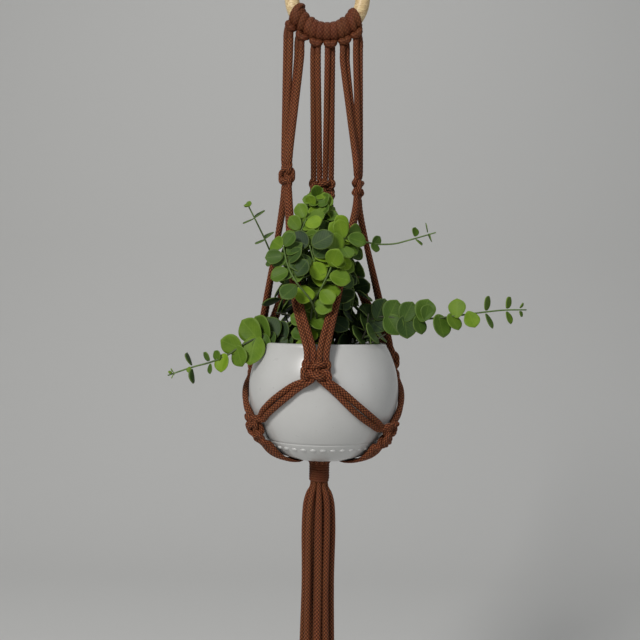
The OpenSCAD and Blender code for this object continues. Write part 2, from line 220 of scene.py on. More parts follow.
def cord_paint(name, relief_share, shade):
    """Braided synthetic cord, chestnut brown. The UV runs round the cord and along it in pitches.
    relief_share is how strongly the braid stands out, in bump and in the painted highlight on its tops
    and painted shade in its valleys. A shade below 1 darkens the whole cord with more painted shade."""
    p = Paint(name, Roughness=0.62, Specular_IOR_Level=0.16, Sheen_Weight=0.03, Sheen_Roughness=0.4,
              Sheen_Tint=(0.9, 0.45, 0.25, 1))
    uv = p.place("UV")
    split = p.node("SeparateXYZ", {0: uv})
    turn = p.times(split.outputs[0], 2 * math.pi)
    along = p.times(split.outputs[1], 2 * math.pi)
    bumps = p.times(p.math("COSINE", p.times(turn, BRAID_ROUND)), p.math("COSINE", along))
    # Yarn ends inside each bump run at a slant, one way on even rows and the other on odd rows
    slant = p.math("SIGN", p.math("COSINE", along))
    lean = p.times(slant, p.times(along, 2.5))
    yarn = p.math("SINE", p.plus(p.times(turn, 4.0 * BRAID_ROUND), lean))
    place = p.place()
    fade = p.spread(p.noise(place, 45.0, 4.0, 0.6), 0.3, 0.72)
    streak = p.spread(p.noise(p.stretched(place, (170.0, 170.0, 14.0)), 1.0, 2.0, 0.6), 0.38, 0.62)
    fleck = p.spread(p.noise(p.stretched(uv, (14.0, 1.3, 1.0)), 3.0, 2.0, 0.7), 0.35, 0.7)
    body = p.mix(fade, (0.130, 0.027, 0.010), (0.200, 0.048, 0.017))
    body = p.mix(p.times(streak, 0.6), body, (0.145, 0.050, 0.013))
    body = p.mix(p.times(fleck, 0.35), body, (0.38, 0.12, 0.05))
    relief = p.plus(bumps, p.times(yarn, 0.25))
    # Painted highlight: the raised tops of the braid's bumps are mixed towards a lighter brown.
    lit_tops = p.times(p.spread(relief, 0.3, 1.0), 0.55 * relief_share)
    body = p.mix(lit_tops, body, (0.50, 0.20, 0.085))
    # Painted shade: the braid's valleys, and by the factor shade the whole cord, are mixed towards near
    # black.
    unshaded_share = p.spread(relief, -0.75, 0.35, 1 - relief_share, 1.0)
    p.wire("Base Color", p.mix(p.times(unshaded_share, shade), (0.018, 0.0045, 0.002), body))
    height = p.plus(p.times(bumps, 0.7), p.times(yarn, 0.3))
    p.bump(height, 0.8 * relief_share, 0.0004)
    return p.material


CORD = cord_paint("cord_braid", 1.0, 1.0)
# The pressed cord of the ring's sheath and the wrap has a flatter braid and is darkened all over with
# painted shade.
PRESSED_SHADED_CORD = cord_paint("cord_braid_pressed_shaded", 0.5, 0.62)

# ---------------------------------------------------------------- cords
PITCH = 0.0049  # between the middles of neighbouring strands
SIDES = 24
RING_STEP = 0.0006
RELIEF = 0.06  # of the radius

ring_low, ring_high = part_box("wooden_ring")
RING_T = ring_high.y - ring_low.y
RING_R = (ring_high.x - ring_low.x - RING_T) / 2
RING_Z = (ring_high.z + ring_low.z) / 2
RING_CENTRE = np.array([0, 0, RING_Z])

pot_low, pot_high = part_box("pot")
POT_X = (pot_low.x + pot_high.x) / 2
POT_R = (pot_high.x - pot_low.x) / 2
POT_TOP = pot_high.z
POT_BASE = pot_low.z
POT_MID = -0.345
UPPER_RISE = 0.067
LOWER_DROP = 0.0625

wrap_low, wrap_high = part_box("gathering_wrap")
FOOT_X = (wrap_low.x + wrap_high.x) / 2
WRAP_R = (wrap_high.x - wrap_low.x) / 2
WRAP_TOP = wrap_high.z
WRAP_BOTTOM = wrap_low.z
WRAP_TURNS = 9


def rise_at(z):
    return UPPER_RISE if z > POT_MID else LOWER_DROP


def pot_r(z):
    return POT_R * math.sqrt(max(0, 1 - ((z - POT_MID) / rise_at(z)) ** 2))


def pot_tilt(z):
    """How far the wall faces below the horizontal, in degrees."""
    return math.degrees(math.atan2((POT_MID - z) / rise_at(z) ** 2, pot_r(z) / POT_R ** 2))


def off_pot(az, z, off):
    tilt = math.radians(pot_tilt(z))
    return np.array([POT_X, 0, 0]) + polar(
        pot_r(z) + off * math.cos(tilt), az, z - off * math.sin(tilt))


# Knots: middle, facing azimuth, tilt below the horizontal, half height, how full they are
SHOULDER_R = 0.0636
LOW_OFF = 0.0058
POT_AXIS = np.array([POT_X, 0, 0])
KNOTS = {
    "left": (np.array([-0.031, -0.007, -0.171]), 201, 0, 0.0075, 0.78),
    "right": (np.array([0.027, -0.007, -0.180]), 345, 0, 0.0075, 0.74),
    "back": (np.array([-0.002, 0.014, -0.178]), 90, 0, 0.007, 0.92),
    "front": (polar(0.0643, 266, -0.3262), 266, -12, 0.0078, 0.92),
    "rear_left": (POT_AXIS + polar(SHOULDER_R, 150, -0.322), 150, -12, 0.010, 1.0),
    "rear_right": (POT_AXIS + polar(SHOULDER_R, 30, -0.322), 30, -12, 0.010, 1.0),
    "low_left": (off_pot(208, -0.371, LOW_OFF), 208, pot_tilt(-0.371), 0.008, 0.74),
    "low_right": (off_pot(330, -0.375, LOW_OFF), 330, pot_tilt(-0.375), 0.008, 0.74),
    "low_back": (off_pot(90, -0.373, LOW_OFF), 90, pot_tilt(-0.373), 0.008, 0.74),
}
SHOULDER_KNOTS = ("front", "rear_left", "rear_right")
# The two pairs leave a shoulder knot a little apart
PORT_SPLIT = 0.0026
PORT_IN = 0.0015  # a port lies this far inside the knot's end


def across(q):
    return (q - 1.5) * PITCH


def knot_axes(k):
    """Directions of a knot: across it, up along it and out of it."""
    az, tilt = KNOTS[k][1], math.radians(KNOTS[k][2])
    u = polar(1, az + 90, 0)
    w = polar(math.cos(tilt), az, -math.sin(tilt))
    return u, np.cross(w, u), w


def knot_port(k, q, end):
    u, v, _ = knot_axes(k)
    split = math.copysign(PORT_SPLIT, q - 1.5) if k in SHOULDER_KNOTS and end < 0 else 0
    return KNOTS[k][0] + u * (across(q) + split) + v * end * (KNOTS[k][3] - PORT_IN)


# ---- square knots
KNOT_D = 0.0042
KNOT_STEP = 0.0011
SIDE_OUT = 0.0062
TWIST_R = 0.0019
BAND_OUT = 0.0040
FILLER_X = 0.0019


def half_knot(hand, high, low, size):
    """Points of the front cord, then of the back cord, in one half knot. The front cord starts
    at the left if hand is 1. Each side is a crossing where the two cords turn round each other."""
    middle, reach = (high + low) / 2, (high - low) * 0.33
    twist, out, band_out = TWIST_R * size, SIDE_OUT * size, BAND_OUT * size

    def side(hand_side, first, last, steps=5):
        rows = []
        for i in range(steps):
            t = i / (steps - 1)
            a = math.radians(first + (last - first) * t)
            rows.append((hand_side * (out + twist * math.cos(a)),
                         middle + reach * (1 - 2 * t), twist * math.sin(a)))
        return rows

    def band(sign, start, slope):
        rows = ((0.0034, -1, band_out * 0.8), (0, 0, band_out), (-0.0034, 1, band_out * 0.8))
        return [(start * x * size, middle + slope * s * reach * 0.8, sign * w) for x, s, w in rows]

    front = side(-hand, 30, -225) + band(1, -hand, 1) + side(hand, 135, 345)
    back = side(hand, -45, 165) + band(-1, hand, 1) + side(-hand, 210, -45)
    return front, back


def settled(routes, diameter, rounds=160, pull=0.35):
    """The routes, pulled tight while their middles stay a diameter apart. Their ends stay put."""
    points, owner, place = [], [], []
    for k, r in enumerate(routes):
        p = curve_through(r, 8)
        s = lengths_along(p)
        n = max(8, int(round(s[-1] / KNOT_STEP)))
        points.append(at_lengths(p, s, np.linspace(0, s[-1], n + 1)))
        owner += [k] * (n + 1)
        place += list(range(n + 1))
    owner, place = np.array(owner), np.array(place)
    skip = int(math.ceil(diameter * 1.35 / KNOT_STEP))
    near = (owner[:, None] == owner[None]) & (abs(place[:, None] - place[None]) < skip)
    p = np.vstack(points)
    first = np.r_[0, np.flatnonzero(np.diff(owner)) + 1]
    last = np.r_[first[1:] - 1, len(p) - 1]
    fixed = np.zeros(len(p), bool)
    for a, b in zip(first, last):
        fixed[a:a + 3] = True
        fixed[b - 2:b + 1] = True
    for _ in range(rounds):
        move = np.zeros_like(p)
        move[1:-1] = pull * ((p[:-2] + p[2:]) / 2 - p[1:-1])
        move[fixed] = 0
        p = p + move
        for _ in range(2):
            gap = p[:, None] - p[None]
            d = np.sqrt((gap ** 2).sum(-1)) + 1e-9
            push = np.where((d < diameter) & ~near, (diameter - d) / d, 0)
            shift = (push[:, :, None] * gap).sum(1) * 0.3
            shift[fixed] = 0
            size = np.linalg.norm(shift, axis=1)[:, None]
            p = p + shift * np.minimum(1, 0.0006 / (size + 1e-9))
    return [p[a:b + 1] for a, b in zip(first, last)]


LEAD_IN = 0.0035
LEAD_OUT_SHOULDER = 0.0012


def square_knot_routes(half, size, shoulder):
    """Local points (across, up, out) of the four strands of a square knot, by port."""
    top, end = half - PORT_IN + LEAD_IN, -(half - PORT_IN)
    end -= LEAD_OUT_SHOULDER if shoulder else LEAD_IN
    split = PORT_SPLIT if shoulder else 0
    front_a, back_a = half_knot(1, half * 0.92, 0, size)
    front_b, back_b = half_knot(-1, 0, -half * 0.92, size)
    q0 = [(across(0), top, 0)] + front_a + front_b + [(across(0) - split, end, 0)]
    q3 = [(across(3), top, 0)] + back_a + back_b + [(across(3) + split, end, 0)]
    filler = FILLER_X * size
    cores = [
        [(across(q), top, 0), (s * filler, half * 0.6, 0), (s * filler, -half * 0.6, 0),
         (across(q) + s * split, end, 0)]
        for q, s in ((1, -1), (2, 1))
    ]
    return settled([q0, *cores, q3], KNOT_D * size)


KNOT_SHAPES = {}


def knot_strand(k, q):
    """World points of strand q in knot k, from the top down."""
    _, _, _, half, size = KNOTS[k]
    key = (half, size, k in SHOULDER_KNOTS)
    if key not in KNOT_SHAPES:
        KNOT_SHAPES[key] = square_knot_routes(*key)
    u, v, w = knot_axes(k)
    local = KNOT_SHAPES[key][q]
    return KNOTS[k][0] + local[:, :1] * u + local[:, 1:2] * v + local[:, 2:] * w


# ---- lark's heads
HEAD_BARS = (218, 236, 257, 274, 292, 310)
BAR_TUCK = (2, 2, 0, 0.5, 0.5, -2)  # the folds sit a little round the ring from their legs
LEG_TURNS = (-42, -42, -35, 35, 42, 42)
BAR_OUT = 0.011
BAR_FRONT = 0.0036
BAR_HALF = 0.0024
BAR_R = 0.0028
BAR_DROP = 0.0012
# The twelve turns cover this arc of the ring, on its outer and on its inner side
SHEATH_OUTER = (211, 320)
SHEATH_INNER = (192, 337)
SHEATH_TURNS = 12
SHEATH_HALF = 0.00125  # half the thickness of a flattened turn
SHEATH_OVERLAP = 1.16  # its width, as a share of the room for one turn
LOOP_TURNS = np.linspace(17, 326, 15)  # places round the ring's bar, from the front over the top


def ring_point(degrees, out, along, to_front):
    a = math.radians(degrees)
    r = RING_R + out
    return np.array([
        r * math.cos(a) - along * math.sin(a), -to_front,
        RING_Z + r * math.sin(a) + along * math.cos(a)])


def leg_top(i, side):
    a = math.radians(HEAD_BARS[i])
    r = RING_R + BAR_OUT
    drop = 0.0024 + BAR_DROP + 0.0032 * abs(math.cos(a))
    turned = polar(side * PITCH / 2, LEG_TURNS[i], 0)
    return np.array([r * math.cos(a), 0, RING_Z + r * math.sin(a) - drop]) + turned


def sheath_turn(number, turn):
    """Ring angle and half width of one flattened turn, at a place round the ring's bar."""
    inner = (1 - math.cos(math.radians(turn))) / 2
    low, high = (a + (b - a) * inner for a, b in zip(SHEATH_OUTER, SHEATH_INNER))
    step = (high - low) / SHEATH_TURNS
    reach = RING_R + RING_T / 2 * math.cos(math.radians(turn))
    return low + step * (number + 0.5), math.radians(step) * reach / 2 * SHEATH_OVERLAP


def head_route(i, side):
    """Points, half thickness and half width from the middle of the fold, round the ring, to the leg."""
    bar = HEAD_BARS[i] + BAR_TUCK[i]
    around = RING_T / 2 + SHEATH_HALF
    rows = [(ring_point(bar, BAR_OUT, 0, BAR_FRONT), BAR_R, BAR_R),
            (ring_point(bar, BAR_OUT - 0.0006, side * BAR_HALF, BAR_FRONT + 0.0004), BAR_R, BAR_R)]
    for turn in LOOP_TURNS:
        a = math.radians(turn)
        degrees, wide = sheath_turn(2 * i + (side > 0), turn)
        spot = ring_point(degrees, around * math.cos(a), 0, around * math.sin(a))
        rows.append((spot, SHEATH_HALF, wide))
    rows.append((ring_point(HEAD_BARS[i], BAR_OUT - 0.0015, side * 0.0021, -0.0024), 0.0021, 0.0023))
    rows.append((leg_top(i, side) + (0, 0, 0.0005), 0.0024, 0.0024))
    return rows


# ---- routes of the twelve strands
LEAD = 0.009  # a strand runs straight this far out of a knot or fold
BOW_SHARE = 0.7
BOWS = {("left", "front"): (-0.0045, 0, 0)}


def leads(a, b, va, vb, bow):
    """Points of a strand in the open between a and b, straight on at both ends, with a slight bow."""
    start, finish = a - va * LEAD, b + vb * LEAD
    return [start, start + (finish - start) * BOW_SHARE + np.array(bow), finish]


UP = np.array([0, 0, 1.0])
NET_STEPS = (0.16, 0.36, 0.55, 0.74, 0.9)
NET_SPREAD = 0.0016
NET_OFF = 0.0030
NET_SAG = {("front", "low_right"): 0.0055}


def azimuth(p):
    return math.degrees(math.atan2(p[1], p[0] - POT_X)) % 360


def net_route(k, q, m, r, upper):
    """Points on the pot's side from port q of knot k to port r of knot m."""
    a, b = knot_port(k, q, -1), knot_port(m, r, 1)
    first, last = azimuth(a), azimuth(b)
    last += 360 if first - last > 180 else -360 if last - first > 180 else 0
    rows = []
    for t in NET_STEPS:
        bow = (1 if upper else -1) * NET_SPREAD - NET_SAG.get((k, m), 0)
        z = a[2] + (b[2] - a[2]) * t + bow * math.sin(math.pi * t)
        rows.append(off_pot(first + (last - first) * t, z, NET_OFF))
    return rows


# Under the pot: distance from the axis and height of the middle of each strand
UNDER = ((0.0514, -0.386), (0.046, -0.3922), (0.041, -0.3962), (0.036, -0.3985),
         (0.0292, -0.4001), (0.0246, -0.3999), (0.0195, -0.3980), (0.0125, -0.3982),
         (0.0094, -0.4003), (0.0064, -0.4050), (0.0050, -0.412))
# Half the thickness and half the width there, where the pot's weight presses the strands flat
UNDER_HALF = (0.0024, 0.0022, 0.0019, 0.0014, 0.0009, 0.0009, 0.0011, 0.0014, 0.0017, 0.0018, 0.0017)
UNDER_WIDE = (0.0024, 0.0025, 0.0026, 0.0028, 0.0029, 0.0029, 0.0028, 0.0022, 0.0018, 0.0018, 0.0017)


def base_route(k, q):
    az = KNOTS[k][1]
    rows = []
    for r, z in UNDER:
        fan = min(30, math.degrees(PITCH / r))
        shift = FOOT_X + (POT_X - FOOT_X) * min(1, max(0, r - 0.007) / 0.025)
        rows.append(np.array([shift, 0, 0]) + polar(r, az + (q - 1.5) * fan, z))
    return rows


# Head and leg, then first knot and port, second knot and port, third knot and port
WIRING = (
    (0, -1, "left", 0, "rear_left", 2, "low_left", 0),
    (0, 1, "left", 1, "rear_left", 3, "low_left", 1),
    (1, -1, "left", 2, "front", 0, "low_left", 2),
    (1, 1, "left", 3, "front", 1, "low_left", 3),
    (2, -1, "back", 3, "rear_left", 1, "low_back", 3),
    (2, 1, "back", 2, "rear_left", 0, "low_back", 2),
    (3, -1, "back", 1, "rear_right", 3, "low_back", 1),
    (3, 1, "back", 0, "rear_right", 2, "low_back", 0),
    (4, -1, "right", 0, "front", 2, "low_right", 0),
    (4, 1, "right", 1, "front", 3, "low_right", 1),
    (5, -1, "right", 2, "rear_right", 0, "low_right", 2),
    (5, 1, "right", 3, "rear_right", 1, "low_right", 3),
)
ARM_NODES = {
    ("left", "front"): "arm_left_front", ("left", "rear_left"): "arm_left_rear",
    ("right", "front"): "arm_right_front", ("right", "rear_right"): "arm_right_rear",
    ("back", "rear_right"): "arm_back_right", ("back", "rear_left"): "arm_back_left",
}
NET_NODES = {
    ("front", "low_left"): "net_left_front", ("front", "low_right"): "net_right_front",
    ("rear_left", "low_left"): "net_left_rear", ("rear_right", "low_right"): "net_right_rear",
    ("rear_right", "low_back"): "net_back_right", ("rear_left", "low_back"): "net_back_left",
}
BASE_NODES = {"low_left": "base_left", "low_right": "base_right", "low_back": "base_back"}
STRAND_R = 0.0024
KNOT_CORD_R = 0.00228
SHOULDER_FULL = 1.1  # how far the cords of a tight knot press into each other
LOOSE_FULL = 1.12


def sides_from_ring(p):
    """Sides of a strand's rings, the first along the wooden ring where the strand goes over it."""
    start = int(np.argmin(np.linalg.norm(p - RING_CENTRE, axis=1)))
    out = unit(p[start] - RING_CENTRE)
    return ring_frames(p, (-out[2], 0, out[0]), start)


class Route:
    """A strand under way: its points, half its thickness and width at each, and the node that
    each stretch is in."""

    def __init__(self):
        self.points, self.halves, self.cuts = [], [], []

    def add(self, node, points, half, wide=None, way=None):
        """half is half the thickness, as one number or one per point, wide half the width, and
        way the direction of the width, where it isn't carried on from the ring."""
        self.cuts.append((node, len(self.points), way))
        half = np.broadcast_to(half, len(points))
        wide = half if wide is None else wide
        self.points += [np.asarray(p, float) for p in points]
        self.halves += list(zip(half, wide))

    def stretches(self):
        """Rings of the whole strand, cut into one stretch per node."""
        per = 16
        dense = curve_through(self.points, per)
        s = lengths_along(dense)
        count = int(s[-1] / RING_STEP)
        wanted = np.linspace(0, s[-1], count + 1)
        p = at_lengths(dense, s, wanted)
        places = np.interp(wanted, s, np.arange(len(dense)) / per)
        half, wide = (np.interp(places, np.arange(len(h)), h) for h in zip(*self.halves))
        side, other = sides_from_ring(p)
        starts = [int(round(s[first * per] / s[-1] * count)) for _, first, _ in self.cuts] + [count]
        for (node, _, way), a, b in zip(self.cuts, starts, starts[1:]):
            rows = [x[a:b + 1] for x in (p, side, other, half, wide, wanted)]
            if way is not None:
                rows[1:3] = ring_frames(rows[0], way)
            yield node, rows


def wired_route(head, leg, k1, q1, k2, q2, k3, q3):
    route = Route()
    loop = head_route(head, leg)
    route.add(f"larks_head_{head + 1}", [p for p, _, _ in loop], [h for _, h, _ in loop],
              [w for _, _, w in loop])
    top, port = leg_top(head, leg), knot_port(k1, q1, 1)
    pair = [top - (0, 0, 0.004), top - UP * LEAD, (top + port) / 2, port + UP * LEAD]
    route.add(f"head_pair_{head + 1}", pair, STRAND_R)

    def add_knot(k, q):
        full = SHOULDER_FULL if k in SHOULDER_KNOTS else LOOSE_FULL
        route.add(f"knot_{k}", knot_strand(k, q), KNOT_CORD_R * KNOTS[k][4] * full)

    add_knot(k1, q1)
    a, b = knot_port(k1, q1, -1), knot_port(k2, q2, 1)
    arm = leads(a, b, UP, knot_axes(k2)[1], BOWS.get((k1, k2), (0, 0, 0)))
    route.add(ARM_NODES[k1, k2], arm, STRAND_R)
    add_knot(k2, q2)
    route.add(NET_NODES[k2, k3], net_route(k2, q2, k3, q3, q2 in (0, 3)), STRAND_R)
    add_knot(k3, q3)
    flat_way = polar(1, KNOTS[k3][1] + 90, 0)
    route.add(BASE_NODES[k3], base_route(k3, q3), UNDER_HALF, UNDER_WIDE, flat_way)
    return route


def tube(stretch):
    """Vertices, faces and UVs of a closed braided tube with a shallow relief."""
    p, side, other, half, wide, s = stretch
    n = len(p)
    turn = np.arange(SIDES) * 2 * math.pi / SIDES
    along = np.cos(2 * math.pi * s / BRAID_PITCH)
    relief = 1 + RELIEF * np.cos(BRAID_ROUND * turn)[None] * along[:, None]
    x = (wide[:, None] * relief * np.cos(turn))[..., None]
    y = (half[:, None] * relief * np.sin(turn))[..., None]
    verts = (p[:, None] + x * side[:, None] + y * other[:, None]).reshape(-1, 3)
    i, k = np.meshgrid(np.arange(n - 1), np.arange(SIDES), indexing="ij")
    i, k = i.ravel(), k.ravel()
    j = (k + 1) % SIDES
    faces = np.stack([i * SIDES + k, i * SIDES + j, (i + 1) * SIDES + j, (i + 1) * SIDES + k], 1)
    v0, v1 = s[i] / BRAID_PITCH, s[i + 1] / BRAID_PITCH
    uv = np.stack([
        np.stack([k / SIDES, v0], 1), np.stack([(k + 1) / SIDES, v0], 1),
        np.stack([(k + 1) / SIDES, v1], 1), np.stack([k / SIDES, v1], 1)], 1)
    return verts, faces, uv.reshape(-1, 2), n


def cord_piece(name, stretches, material=CORD):
    """One mesh of several closed tubes."""
    verts, faces, uvs, base = [], [], [], 0
    for stretch in stretches:
        v, f, uv, n = tube(stretch)
        verts.append(v)
        faces += [tuple(x) for x in (f + base).tolist()]
        uvs.append(uv)
        faces.append(tuple(range(base + SIDES - 1, base - 1, -1)))
        faces.append(tuple(range(base + (n - 1) * SIDES, base + n * SIDES)))
        uvs.append(np.zeros((2 * SIDES, 2)))
        base += len(v)
    return mesh_object(name, np.vstack(verts), faces, material, np.vstack(uvs))


def plain_stretch(points, radii, per=16):
    """Rings of a single tube through some points."""
    dense = curve_through(points, per)
    s = lengths_along(dense)
    thick = np.interp(np.arange(len(dense)) / per, np.arange(len(radii)), radii)
    wanted = np.linspace(0, s[-1], int(s[-1] / RING_STEP) + 1)
    p = at_lengths(dense, s, wanted)
    side, other = ring_frames(p)
    half = np.interp(wanted, s, thick)
    return p, side, other, half, half, wanted


ARM_PATHS = []  # points on the middles of the arm cords, filled by make_strands
ARM_SAMPLING = 4  # one point in this many rings


def make_strands():
    found = {}
    for row in WIRING:
        for node, stretch in wired_route(*row).stretches():
            found.setdefault(node, []).append(stretch)
    for node, stretches in found.items():
        if node.startswith("larks_head"):
            # The two halves of the fold become one tube
            a, b = stretches
            joined = [np.concatenate([x[::-1], y[1:]]) for x, y in zip(a[:5], b[:5])]
            joined.append(np.concatenate([-a[5][::-1], b[5][1:]]))
            joined[1:3] = sides_from_ring(joined[0])
            piece = cord_piece(node + "_loop", [joined], PRESSED_SHADED_CORD)
            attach(piece, "ring")
        elif node.startswith("head_pair"):
            piece = cord_piece(node + "_cords", stretches)
            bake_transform(piece)
        else:
            piece = cord_piece(node + "_cords", stretches)
            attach(piece, "cradle")
        if node.startswith("arm"):
            ARM_PATHS.extend(stretch[0][::ARM_SAMPLING] for stretch in stretches)
        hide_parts(node)


make_strands()


# ---- gathering wrap: one thin cord coiled tightly, its ends tucked inside
COLLAR = 0.0010  # the coil ends this far above the lower end of the CAD wrap
COIL_TOP = WRAP_TOP + 0.0038
COIL_STEPS = 24  # points in one turn


def make_wrap():
    bottom = WRAP_BOTTOM + COLLAR
    turn_r = (COIL_TOP - bottom) / WRAP_TURNS / 2
    coil_r = WRAP_R - turn_r
    points, radii = [], []
    for i in range(WRAP_TURNS * COIL_STEPS + 1):
        t = i / COIL_STEPS
        tuck = max(0, 0.5 - t, t - WRAP_TURNS + 0.5) * 2
        z = COIL_TOP - turn_r - (COIL_TOP - bottom - 2 * turn_r) * t / WRAP_TURNS
        points.append(np.array([FOOT_X, 0, 0]) + polar(coil_r - 0.002 * tuck, 360 * t + 140, z))
        radii.append(turn_r * (1.1 - 0.15 * tuck))
    piece = cord_piece("gathering_wrap_coil", [plain_stretch(points, radii, per=4)], PRESSED_SHADED_CORD)
    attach(piece, "cradle")
    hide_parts("gathering_wrap")


make_wrap()

# ---- tassel: height, and distance from the axis of the outer and of the inner strands
FALL = ((-0.4242, 0.006, 0.0021), (-0.429, 0.0084, 0.0028), (-0.437, 0.0104, 0.0038),
        (-0.455, 0.0115, 0.0047), (-0.500, 0.011, 0.0044), (-0.560, 0.012, 0.005))
TIP_OUTER_R, TIP_INNER_R = 0.0124, 0.005
TASSEL_L = 0.218
TASSEL_R = 0.0025
# Azimuth, drift round the axis and change of length of each strand; the first nine are outer ones
STRANDS = ((270, 4, 0), (310, -5, -0.005), (350, 3, 0.002), (30, 6, -0.008), (70, -4, 0),
           (110, 5, -0.004), (150, -4, 0.003), (190, 5, -0.006), (230, -5, 0.001),
           (250, 8, -0.003), (10, -8, 0.004), (130, 6, -0.007))
OUTER_STRANDS = 9
DRIFT = (0, 0, 0.2, 0.5, 1, 0.6, 1.3)
HIDDEN_TOP = 0.008  # a tassel strand starts this far up inside the wrap
INSIDE_OUTER_R, INSIDE_INNER_R = 0.0052, 0.0019  # distance from the axis there
GATHERED_R = [0.0016, 0.0019, 0.0022]  # the strands are pressed thin where the wrap holds them
TIP_Z = WRAP_BOTTOM - TASSEL_L


def tassel_route(i):
    az, drift, longer = STRANDS[i]
    outer = i < OUTER_STRANDS
    rows = [(z, a if outer else b) for z, a, b in FALL]
    rows.append((TIP_Z + longer, TIP_OUTER_R if outer else TIP_INNER_R))
    foot = np.array([FOOT_X, 0, 0])
    points = [foot + polar(r, az + drift * share, z) for (z, r), share in zip(rows, DRIFT)]
    inside = INSIDE_OUTER_R if outer else INSIDE_INNER_R
    points.insert(0, foot + polar(inside, az, WRAP_BOTTOM + HIDDEN_TOP))
    return points


def make_tassel():
    for i in range(len(STRANDS)):
        points = tassel_route(i)
        radii = GATHERED_R + [TASSEL_R] * (len(points) - len(GATHERED_R))
        stretch = plain_stretch(points, radii)
        piece = cord_piece(f"tassel_strand_{i + 1:02d}_cord", [stretch])
        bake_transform(piece)
        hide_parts(f"tassel_strand_{i + 1:02d}")
        path = stretch[0]
        exit_at = at_lengths(path, lengths_along(path), np.array([HIDDEN_TOP]))[0]
        float(lengths_along(path)[-1])


make_tassel()


# ---------------------------------------------------------------- wooden ring
def wood_paint():
    """Pale turned beech with fine straight grain, waxed."""
    p = Paint("pale_wood", Roughness=0.48, Specular_IOR_Level=0.4, Coat_Weight=0.12, Coat_Roughness=0.35)
    place = p.place()
    grain = p.noise(p.stretched(place, (22.0, 190.0, 380.0)), 1.0, 5.0, 0.62, 0.4)
    bands = p.noise(p.stretched(place, (9.0, 60.0, 110.0)), 1.0, 2.0, 0.5, 1.2)
    pores = p.spread(p.noise(p.stretched(place, (160.0, 900.0, 1700.0)), 1.0, 2.0), 0.36, 0.5)
    tone = p.mix(p.spread(bands, 0.3, 0.7), (0.62, 0.46, 0.23), (0.80, 0.64, 0.37))
    tone = p.mix(p.times(p.spread(grain, 0.45, 0.75), 0.55), tone, (0.46, 0.30, 0.15))
    p.wire("Base Color", p.mix(pores, (0.40, 0.26, 0.13), tone))
    p.bump(p.plus(grain, p.times(pores, 0.5)), 0.25, 0.0002)
    return p.material


def make_ring():
    around, over = 192, 40
    i, k = np.meshgrid(np.arange(around), np.arange(over), indexing="ij")
    a, b = i * 2 * math.pi / around, k * 2 * math.pi / over
    wobble = 1 + 0.004 * np.sin(3 * a + 0.7) + 0.003 * np.sin(5 * a)
    radius = RING_T / 2 * wobble
    r = RING_R + radius * np.cos(b)
    verts = np.stack([r * np.cos(a), radius * np.sin(b), RING_Z + r * np.sin(a)], -1).reshape(-1, 3)
    i, k = i.ravel(), k.ravel()
    i2, k2 = (i + 1) % around, (k + 1) % over
    faces = np.stack([i * over + k, i2 * over + k, i2 * over + k2, i * over + k2], 1)[:, ::-1]
    piece = mesh_object("wooden_ring_turned", verts, faces, wood_paint())
    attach(piece, "ring")
    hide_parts("wooden_ring")


make_ring()


# ---------------------------------------------------------------- pot
def glaze_paint():
    """White glazed ceramic: a soft clear coat over a slightly uneven body."""
    p = Paint("white_glaze", Roughness=0.33, Specular_IOR_Level=0.5, Coat_Weight=0.35,
              Coat_Roughness=0.16)
    place = p.place()
    cloud = p.spread(p.noise(place, 18.0, 4.0, 0.55), 0.3, 0.7)
    pit = p.spread(p.noise(place, 900.0, 2.0, 0.5), 0.24, 0.29)
    body = p.mix(cloud, (0.47, 0.47, 0.457), (0.52, 0.52, 0.51))
    p.wire("Base Color", p.mix(pit, (0.40, 0.39, 0.37), body))
    p.wire("Roughness", p.spread(p.noise(place, 60.0, 3.0), 0.3, 0.7, 0.27, 0.38))
    wave = p.noise(place, 55.0, 2.0, 0.5)
    p.bump(p.plus(p.times(wave, 0.8), p.times(pit, 0.06)), 0.22, 0.0012)
    return p.material


WALL_T = 0.004
BASE_R = 0.028
RECESS = 0.003
CONE_TOP = 56
BEAD_COUNT = 36
BEAD_SIZE = (0.0026, 0.0017, 0.0013)  # half sizes: round the pot, up the wall and out of it
BEAD_SUNK = 0.0003
BEAD_ANGLE = 43.6
GROOVE_Z = 0.0046  # above the beads
GROOVE_DEPTH = 0.0005


def arc_point(degrees, rise, inset):
    a = math.radians(degrees)
    return ((POT_R - inset) * math.cos(a), POT_MID + (rise - inset) * math.sin(a))


def pot_profile():
    """Outline of the wall, from the middle of the underside, over the rim, to the inside's middle."""
    rim = WALL_T / 2
    top_z = POT_TOP - rim
    top = math.degrees(math.asin((top_z - POT_MID) / UPPER_RISE))
    top_in = math.degrees(math.asin((top_z - POT_MID) / (UPPER_RISE - WALL_T)))
    rows = [(0.0, POT_BASE + RECESS), (BASE_R - 0.007, POT_BASE + RECESS), (BASE_R - 0.0035, POT_BASE),
            (BASE_R - 0.0008, POT_BASE), (BASE_R + 0.0006, POT_BASE + 0.0007)]
    for i in range(1, 41):
        rows.append(arc_point(-CONE_TOP * (1 - i / 40), LOWER_DROP, 0))
    for i in range(1, 33):
        rows.append(arc_point(top * i / 32, UPPER_RISE, 0))
    outer, inner = rows[-1], arc_point(top_in, UPPER_RISE, WALL_T)
    middle = ((outer[0] + inner[0]) / 2, (outer[1] + inner[1]) / 2)
    half = math.hypot(outer[0] - inner[0], outer[1] - inner[1]) / 2
    start = math.atan2(outer[1] - middle[1], outer[0] - middle[0])
    for i in range(1, 12):
        a = start + math.pi * i / 12
        rows.append((middle[0] + half * math.cos(a), middle[1] + half * math.sin(a)))
    for i in range(24, -25, -2):
        share = i / 24
        rows.append(arc_point(top_in * share if share > 0 else CONE_TOP * share,
                              UPPER_RISE if share > 0 else LOWER_DROP, WALL_T))
    floor = POT_BASE + RECESS + WALL_T
    rows += [(BASE_R - WALL_T, floor), (0.0, floor)]
    return rows


